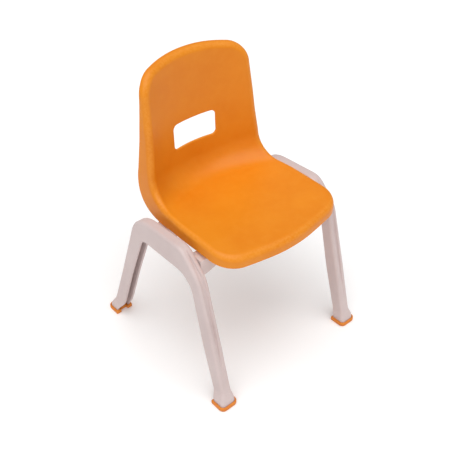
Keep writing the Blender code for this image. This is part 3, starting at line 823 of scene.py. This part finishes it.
def rail_block(bm, y, end_gap, half_depth, top, lift, rounding):
    """The rail's outline, or its hollow: end_gap shortens it and lift raises its bottom."""
    haunch = np.linspace(RAIL_END_X, RAIL_END_X - RAIL_HAUNCH, HAUNCH_STEPS + 1)
    rings = []
    for x in (*-haunch, *reversed(haunch)):
        low = rail_bottom(x) + lift
        ring = []
        corners = [(low, -half_depth), (low, half_depth), (top, half_depth), (top, -half_depth)]
        for z, across in corners:
            end = frame_face_x(z) - LEG_WIDTH - GAP - end_gap
            ring.append(bm.verts.new((x / RAIL_END_X * end, y + across, z)))
        rings.append(ring)
    skin_rings(bm, rings)
    edges = [edge for edge in bm.edges if edge.calc_face_angle(0) > math.radians(BEVEL_ANGLE)]
    bmesh.ops.recalc_face_normals(bm, faces=bm.faces)
    settings = {"segments": 5, "affect": "EDGES", "profile": 0.5, "clamp_overlap": True}
    bmesh.ops.bevel(bm, geom=edges, offset=rounding, **settings)


def cross_rail(node, paint):
    y = centre_of(node).y

    def outside(bm):
        rail_block(bm, y, 0.0, RAIL_DEPTH / 2, RAIL_TOP, 0.0, RAIL_EDGE)

    def hollow(bm):
        half = RAIL_DEPTH / 2 - RAIL_WALL
        top = RAIL_TOP - RAIL_WEB
        rail_block(bm, y, RAIL_END_WALL, half, top, RAIL_OPENING, RAIL_INNER_EDGE)

    tools = [mesh_of("rail_hollow", hollow)]
    for where in ("left", "right"):
        place = centre_of(f"seat_screw_{node.split('_')[0]}_{where}")
        hole = hole_tool(SCREW_RADIUS + GAP, *SCREW_HOLE)
        tools.append(placed(hole, Matrix.Translation((place.x, place.y, 0))))
    for side in (-1, 1):
        for place in bolt_frames(side, node):
            tools.append(placed(hole_tool(BOLT_RADIUS + GAP, *BOLT_HOLE), place))
    name = node.replace("cross_rail", "tie_rail")
    mesh = cut(mesh_of(name, outside), tools[:1])
    mesh = cut(mesh, tools[1:])
    new_piece(name, mesh, paint, node)


# --------------------------------------------------------------- fasteners

BOLT_HEAD_RADIUS, BOLT_HEAD_HEIGHT, BOLT_REACH = 0.0046, 0.0032, 0.0165
NUT_HEIGHT, NUT_RADIUS = 0.0036, 0.0048
NUT_BEVEL, NUT_CHAMFER_SPARE = 0.0004, 0.0001
SCREW_HEAD_RADIUS, SCREW_HEAD_HEIGHT, SCREW_LENGTH = 0.0042, 0.0028, 0.0145
WASHER_RADIUS, WASHER_THICKNESS = 0.0058, 0.0010
THREAD_PITCH, THREAD_DEPTH, THREAD_STOP = 0.0010, 0.00028, 0.0014
HEAD_FLAT, HEAD_DOME, HEAD_STEPS = 0.60, 0.72, 8  # shares of a head's radius and height
HEAD_EDGE, TIP_LENGTH, TIP_SHARE = 0.0002, 0.0010, 0.62
SIDES = 48


def cross_reach(length, half_width):
    """A cross-shaped outline's distance from its middle, by angle."""

    def reach(angle):
        across, up = max(abs(math.cos(angle)), 1e-6), max(abs(math.sin(angle)), 1e-6)
        return max(min(length / across, half_width / up), min(length / up, half_width / across))

    return reach


def hexagon_reach(corner):
    def reach(angle):
        sixth = math.pi / 3
        return corner * math.cos(sixth / 2) / math.cos(angle % sixth - sixth / 2)

    return reach


def headed_profile(head_radius, head_height, seat, shank, tip, threaded_from):
    """Rings of a pan head with a cross recess, its shank and its thread's rings."""
    base = seat - head_height
    profile = [
        (cross_reach(head_radius * 0.42, head_radius * 0.10), base + head_height * 0.62),
        (cross_reach(head_radius * 0.50, head_radius * 0.12), base + 0.0001),
        (head_radius * HEAD_FLAT, base),
    ]
    for step in range(1, HEAD_STEPS + 1):
        angle = math.pi / 2 * step / HEAD_STEPS
        reach = head_radius * (HEAD_FLAT + (1 - HEAD_FLAT) * math.sin(angle))
        profile.append((reach, base + head_height * HEAD_DOME * (1 - math.cos(angle))))
    profile += [(head_radius, seat - HEAD_EDGE), (head_radius - HEAD_EDGE, seat), (shank, seat)]
    z = threaded_from
    while z + THREAD_PITCH < tip - THREAD_STOP:
        profile += [(shank, z), (shank - THREAD_DEPTH, z + THREAD_PITCH / 2)]
        z += THREAD_PITCH
    profile += [(shank, z), (shank, tip - TIP_LENGTH), (shank * TIP_SHARE, tip)]
    return profile


def ringed(name, profile):
    """A ring-shaped solid from a closed run of (radius or function of the angle, z)."""

    def build(bm):
        rings = [ring_of(bm, reach, z, SIDES) for reach, z in profile]
        skin_rings(bm, [*rings, rings[0]], capped=False)

    return mesh_of(name, build)


def bolts_and_nuts(paint):
    seat = -GAP - RAIL_END_WALL - GAP
    tip = seat + BOLT_REACH
    thread = LEG_WALL + 0.0002
    profile = headed_profile(BOLT_HEAD_RADIUS, BOLT_HEAD_HEIGHT, seat, BOLT_RADIUS, tip, thread)
    bolt = lathed("rail_bolt", profile, SIDES)
    low, hole = LEG_WALL + GAP, BOLT_RADIUS + GAP
    high = low + NUT_HEIGHT
    inside = NUT_RADIUS * math.cos(math.pi / 6)
    corner = hexagon_reach(NUT_RADIUS)

    def chamfered(angle):
        return min(corner(angle), inside + NUT_CHAMFER_SPARE)

    outline = [
        (chamfered, low),
        (corner, low + NUT_BEVEL),
        (corner, high - NUT_BEVEL),
        (chamfered, high),
        (hole + NUT_BEVEL, high),
        (hole, high - NUT_BEVEL),
        (hole, low + NUT_BEVEL),
        (hole + NUT_BEVEL, low),
    ]
    nut = ringed("rail_nut", outline)
    for rail, end in zip(RAILS, ("front", "rear")):
        for side, word in ((-1, "left"), (1, "right")):
            for place, level in zip(bolt_frames(side, rail), ("lower", "upper")):
                where = f"{end}_{word}_{level}"
                for kind, mesh in (("rail_bolt", bolt), ("rail_nut", nut)):
                    piece = placed(mesh, place)
                    piece.name = f"{kind}_turned_{where}"
                    new_piece(piece.name, piece, paint, f"{kind}_{where}")


def screws_and_washers(paint):
    washer_top = RAIL_TOP - RAIL_WEB - GAP
    low = washer_top - WASHER_THICKNESS
    seat = low - GAP
    tip = seat + SCREW_LENGTH
    thread = seat + 0.0040
    profile = headed_profile(SCREW_HEAD_RADIUS, SCREW_HEAD_HEIGHT, seat, SCREW_RADIUS, tip, thread)
    screw = lathed("seat_screw", profile, SIDES)
    hole, edge = SCREW_RADIUS + GAP, 0.0002
    outline = [
        (WASHER_RADIUS - edge, low),
        (WASHER_RADIUS, low + edge),
        (WASHER_RADIUS, washer_top - edge),
        (WASHER_RADIUS - edge, washer_top),
        (hole + edge, washer_top),
        (hole, washer_top - edge),
        (hole, low + edge),
        (hole + edge, low),
    ]
    washer = ringed("seat_washer", outline)
    for where in ("front_left", "front_right", "rear_left", "rear_right"):
        place = centre_of("seat_screw_" + where)
        for kind, mesh in (("seat_screw", screw), ("seat_washer", washer)):
            piece = placed(mesh, Matrix.Translation((place.x, place.y, 0)))
            piece.name = f"{kind}_turned_{where}"
            new_piece(piece.name, piece, paint, f"{kind}_{where}")


# ---------------------------------------------------------------- finishes


class Signal:
    """One shader value; arithmetic on it adds Math nodes."""

    def __init__(self, paint, socket):
        self.paint, self.socket = paint, socket

    def math(self, operation, first, second):
        return self.paint.node("ShaderNodeMath", {"operation": operation}, {0: first, 1: second})

    def __add__(self, other):
        return self.math("ADD", self, other)

    def __rsub__(self, other):
        return self.math("SUBTRACT", other, self)

    def __mul__(self, other):
        return self.math("MULTIPLY", self, other)

    __radd__, __rmul__ = __add__, __mul__

    def between(self, low, high):
        """0 at low, 1 at high, eased in between."""
        settings = {"interpolation_type": "SMOOTHSTEP"}
        inputs = {"Value": self, "From Min": low, "From Max": high}
        return self.paint.node("ShaderNodeMapRange", settings, inputs)


class Paint:
    """A material and its shader nodes."""

    def __init__(self, name):
        self.material = bpy.data.materials.new(name)
        self.material.use_nodes = True
        self.tree = self.material.node_tree
        self.tree.nodes.clear()
        self.place = self.node("ShaderNodeTexCoord", output="Object")

    def node(self, kind, settings=None, inputs=None, output=0):
        made = self.tree.nodes.new(kind)
        for name, value in (settings or {}).items():
            setattr(made, name, value)
        for name, value in (inputs or {}).items():
            if isinstance(value, Signal):
                self.tree.links.new(value.socket, made.inputs[name])
            else:
                made.inputs[name].default_value = value
        return Signal(self, made.outputs[output])

    def noise(self, scale, detail=3.0, roughness=0.5):
        inputs = {"Vector": self.place, "Scale": scale, "Detail": detail, "Roughness": roughness}
        return self.node("ShaderNodeTexNoise", None, inputs)

    def height(self):
        """Height above the floor."""
        return self.node("ShaderNodeSeparateXYZ", None, {0: self.place}, "Z")

    def edges(self):
        """How far a spot stands out as an edge, 0 to 1."""
        pointed = self.node("ShaderNodeNewGeometry", output="Pointiness")
        return pointed.between(0.52, 0.62)

    def blend(self, amount, first, second):
        """A colour between two colours."""
        settings = {"data_type": "RGBA"}
        return self.node("ShaderNodeMix", settings, {0: amount, 6: first, 7: second}, 2)

    def bump(self, height, distance, strength):
        inputs = {"Height": height, "Distance": distance, "Strength": strength}
        return self.node("ShaderNodeBump", None, inputs)

    def surface(self, **inputs):
        named = {name.replace("_", " "): value for name, value in inputs.items()}
        shader = self.node("ShaderNodeBsdfPrincipled", None, named)
        output = self.tree.nodes.new("ShaderNodeOutputMaterial")
        self.tree.links.new(shader.socket, output.inputs["Surface"])
        return self.material


def linear(colour):
    """A web colour as the linear values that shaders take."""
    values = []
    for start in (0, 2, 4):
        value = int(colour[start : start + 2], 16) / 255
        values.append(value / 12.92 if value <= 0.04045 else ((value + 0.055) / 1.055) ** 2.4)
    return (*values, 1.0)


def shell_plastic():
    """Orange moulded plastic with a fine spark grain, paler along its rim and lips: a painted
    highlight broken up by rubbed speckle.
    """
    paint = Paint("orange_moulded_plastic")
    cloud = paint.noise(14.0, 4.0)
    mottle = paint.noise(90.0, 3.0)
    grain = paint.noise(2600.0, 2.0, 0.6)
    highlit_and_worn = paint.node("ShaderNodeAttribute", {"attribute_name": "wear_and_highlight"}, output="Fac")
    # Painted highlight on the rim and lips, speckled like rubbed wear; F7A544 is the paler
    # highlight colour.
    rubbed_and_highlit = highlit_and_worn.between(0.35, 1.0) * paint.noise(260.0, 5.0, 0.65).between(0.35, 0.65)
    colour = paint.blend(cloud.between(0.3, 0.7), linear("E5840E"), linear("EA8C16"))
    colour = paint.blend(mottle.between(0.35, 0.8) * 0.25, colour, linear("EC9428"))
    colour = paint.blend(rubbed_and_highlit * 0.32, colour, linear("F7A544"))
    roughness = 0.36 + 0.10 * cloud + 0.06 * mottle + 0.08 * rubbed_and_highlit
    shape = paint.bump(grain, 0.00004, 0.5)
    return paint.surface(
        Base_Color=colour, Roughness=roughness, Normal=shape, IOR=1.49, Specular_IOR_Level=0.32
    )


def frame_plastic():
    """Pale warm grey plastic, scuffed all over and more near the floor, and paler along its convex
    edges.
    """
    paint = Paint("pale_moulded_plastic")
    cloud = paint.noise(18.0, 4.0)
    grain = paint.noise(2200.0, 2.0, 0.6)
    fleck = paint.noise(420.0, 5.0, 0.7)
    low = paint.height()
    near_floor = 1 - low.between(0.010, 0.075)
    scuffed = fleck.between(0.56, 0.70) * (0.25 + 0.75 * near_floor)
    colour = paint.blend(cloud.between(0.3, 0.7), linear("CFBCB9"), linear("D5C3C0"))
    colour = paint.blend(scuffed * 0.30, colour, linear("A8968F"))
    colour = paint.blend(paint.edges() * 0.35, colour, linear("EEE4E0"))
    roughness = 0.42 + 0.10 * cloud + 0.12 * scuffed
    shape = paint.bump(grain, 0.00005, 0.5)
    return paint.surface(
        Base_Color=colour, Roughness=roughness, Normal=shape, IOR=1.49, Specular_IOR_Level=0.5
    )


def cap_rubber():
    """Orange rubber, dull, with dust at the sole."""
    paint = Paint("orange_rubber")
    cloud = paint.noise(60.0, 4.0)
    grain = paint.noise(1500.0, 4.0, 0.65)
    dust = paint.noise(340.0, 5.0, 0.7).between(0.42, 0.68)
    near_floor = 1 - paint.height().between(0.0004, 0.0035)
    colour = paint.blend(cloud.between(0.3, 0.7), linear("DC7A16"), linear("E48824"))
    colour = paint.blend(dust * (0.15 + 0.55 * near_floor), colour, linear("A0765A"))
    roughness = 0.55 + 0.12 * cloud + 0.15 * dust
    shape = paint.bump(grain, 0.00008, 0.6)
    return paint.surface(
        Base_Color=colour, Roughness=roughness, Normal=shape, IOR=1.5, Specular_IOR_Level=0.5
    )


def plated_steel():
    """Zinc-plated steel with a cloudy tone and dull spots."""
    paint = Paint("zinc_plated_steel")
    cloud = paint.noise(300.0, 4.0)
    spots = paint.noise(900.0, 4.0, 0.7)
    colour = paint.blend(cloud, linear("B9BCC0"), linear("CDD0D2"))
    colour = paint.blend(spots.between(0.6, 0.75) * 0.4, colour, linear("8F8A80"))
    roughness = 0.26 + 0.16 * cloud + 0.10 * spots
    shape = paint.bump(spots, 0.00002, 0.5)
    return paint.surface(Base_Color=colour, Roughness=roughness, Metallic=1.0, Normal=shape)


# ------------------------------------------------------------ floor and light

FLOOR_HALF, FLOOR_DROP, FLOOR_GLOW = 9.0, 0.0002, 0.13


def floor():
    paint = Paint("white_paper")
    colour = paint.blend(paint.noise(0.6, 2.0), (0.90, 0.90, 0.90, 1), (0.92, 0.92, 0.92, 1))
    glow = {"Emission_Color": (1.0, 1.0, 1.0, 1.0), "Emission_Strength": FLOOR_GLOW}
    paint.surface(Base_Color=colour, Roughness=0.9, Specular_IOR_Level=0.1, **glow)
    bm = bmesh.new()
    corners = [(-FLOOR_HALF, -FLOOR_HALF), (FLOOR_HALF, -FLOOR_HALF)]
    corners += [(FLOOR_HALF, FLOOR_HALF), (-FLOOR_HALF, FLOOR_HALF)]
    bm.faces.new([bm.verts.new((x, y, -FLOOR_DROP)) for x, y in corners])
    mesh = bpy.data.meshes.new("floor")
    bm.to_mesh(mesh)
    bm.free()
    mesh.materials.append(paint.material)
    ground = bpy.data.objects.new("floor", mesh)
    bpy.context.scene.collection.objects.link(ground)


def soft_sun(name, towards, strength, spread):
    """A large, even light. towards points from the chair to it; spread is in degrees."""
    lamp = bpy.data.lights.new(name, "SUN")
    lamp.energy, lamp.angle = strength, math.radians(spread)
    light = bpy.data.objects.new(name, lamp)
    light.rotation_euler = Vector(towards).to_track_quat("Z", "Y").to_euler()
    bpy.context.scene.collection.objects.link(light)


def surroundings(light, backdrop):
    """Even light from all round, and a backdrop with a brightness of its own."""
    world = bpy.data.worlds.new("studio")
    world.use_nodes = True
    tree = world.node_tree
    rays = tree.nodes.new("ShaderNodeLightPath")
    brightness = tree.nodes.new("ShaderNodeMapRange")
    brightness.inputs["To Min"].default_value = light
    brightness.inputs["To Max"].default_value = backdrop
    background = tree.nodes["Background"]
    background.inputs["Color"].default_value = (1.0, 1.0, 1.0, 1.0)
    tree.links.new(rays.outputs["Is Camera Ray"], brightness.inputs["Value"])
    tree.links.new(brightness.outputs["Result"], background.inputs["Strength"])
    bpy.context.scene.world = world


EYE = (-0.6202, -0.6956, 0.9317)
LOOKS_DOWN, HEADING = 38.044, -41.2247  # degrees
FOCAL_LENGTH, SENSOR = 56.58, 36.0  # millimetres


def camera():
    lens = bpy.data.cameras.new("camera")
    lens.lens, lens.sensor_width = FOCAL_LENGTH, SENSOR
    eye = bpy.data.objects.new("camera", lens)
    eye.location = EYE
    eye.rotation_euler = (math.radians(90 - LOOKS_DOWN), 0.0, math.radians(HEADING))
    bpy.context.scene.collection.objects.link(eye)
    bpy.context.scene.camera = eye


def build_chair():
    orange, pale, rubber, steel = shell_plastic(), frame_plastic(), cap_rubber(), plated_steel()
    seat_shell(orange)
    for side, word in ((-1, "left"), (1, "right")):
        leg_frame(side, word, pale)
        for end, where in ((-1, "front"), (1, "rear")):
            foot_cap(side, end, f"{where}_{word}", rubber)
    for rail in RAILS:
        cross_rail(rail, pale)
    bolts_and_nuts(steel)
    screws_and_washers(steel)


build_chair()
floor()
surroundings(0.32, 0.96)
soft_sun("overhead", (-0.22, -0.24, 1.0), 2.5, 70)
camera()
bpy.context.scene.view_settings.view_transform = "Standard"
